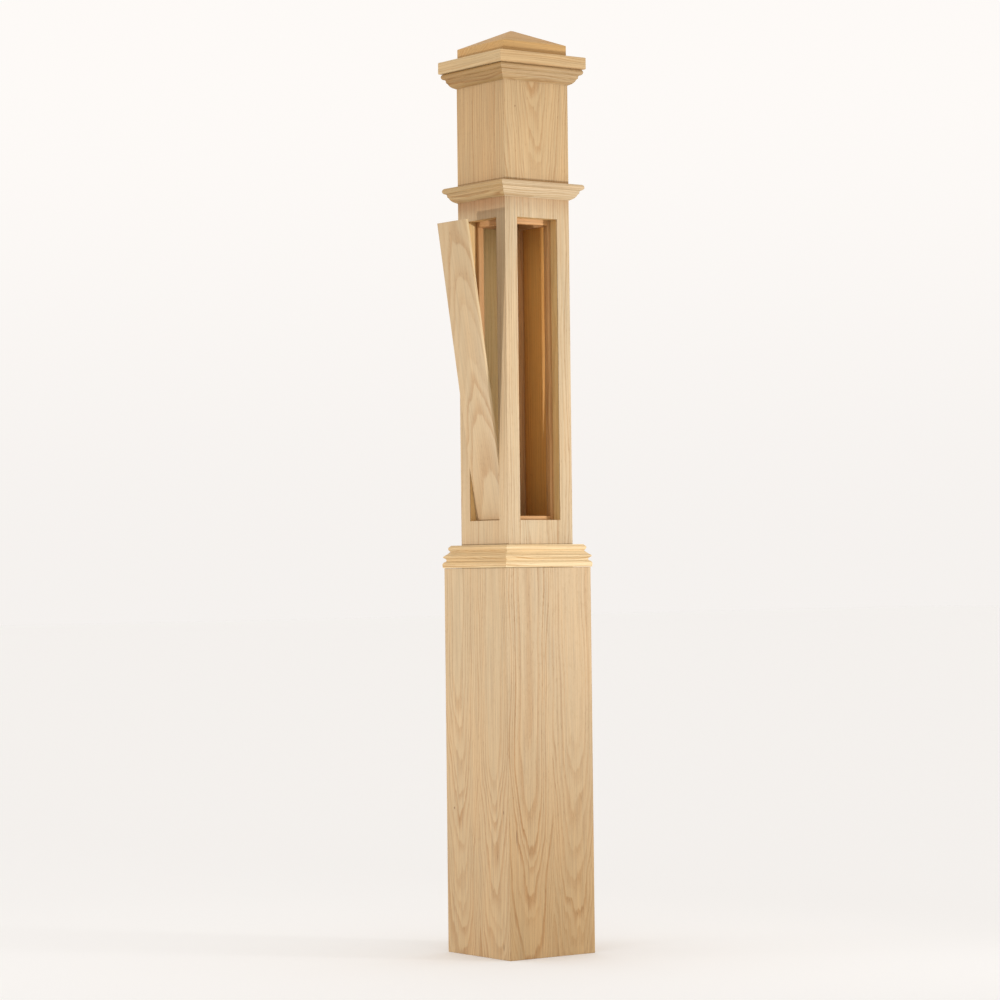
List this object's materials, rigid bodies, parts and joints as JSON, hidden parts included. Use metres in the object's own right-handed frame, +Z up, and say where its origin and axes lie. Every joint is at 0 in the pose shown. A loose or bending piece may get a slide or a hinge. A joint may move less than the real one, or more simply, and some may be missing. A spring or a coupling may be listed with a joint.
{
  "type": "box newel post",
  "caption": "Square hollow oak stair newel with windowed shaft, mitred mouldings, pyramid cap and a loose flat panel leaning out of one window.",
  "frame": {"origin": "on the post's axis at the foot, in the middle of the square opening that slips over a floor block", "axes": "+Z up the post, -Y out of the open front window, -X out of the left window where the loose panel leans"},
  "size_m": [0.1975, 0.1628, 1.4013],
  "materials": {
    "board_oak": "bare sanded oak boards",
    "moulding_oak": "bare moulded oak, long grain",
    "cap_oak": "bare sanded oak, long grain",
    "block_oak": "sawn oak blocks, a little pinker",
    "panel_oak": "bare thin oak panel"
  },
  "bodies": {
    "root": {"lower_box_front": "board_oak", "shaft_front": "board_oak", "base_moulding_front": "moulding_oak", "neck_moulding_front": "moulding_oak", "bed_moulding_front": "moulding_oak", "cap_rail_front": "cap_oak", "sill_block_front": "block_oak", "head_block_front": "block_oak", "lower_box_right": "board_oak", "shaft_right": "board_oak", "base_moulding_right": "moulding_oak", "neck_moulding_right": "moulding_oak", "bed_moulding_right": "moulding_oak", "cap_rail_right": "cap_oak", "sill_block_right": "block_oak", "head_block_right": "block_oak", "lower_box_back": "board_oak", "shaft_back": "board_oak", "base_moulding_back": "moulding_oak", "neck_moulding_back": "moulding_oak", "bed_moulding_back": "moulding_oak", "cap_rail_back": "cap_oak", "sill_block_back": "block_oak", "head_block_back": "block_oak", "lower_box_left": "board_oak", "shaft_left": "board_oak", "base_moulding_left": "moulding_oak", "neck_moulding_left": "moulding_oak", "bed_moulding_left": "moulding_oak", "cap_rail_left": "cap_oak", "sill_block_left": "block_oak", "head_block_left": "block_oak", "corner_block_front_right": "block_oak", "corner_block_back_right": "block_oak", "corner_block_back_left": "block_oak", "corner_block_front_left": "block_oak", "cap_block": "cap_oak", "fitted_panel_right": "panel_oak", "fitted_panel_back": "panel_oak", "loose_panel": "panel_oak"}
  },
  "joints": []
}
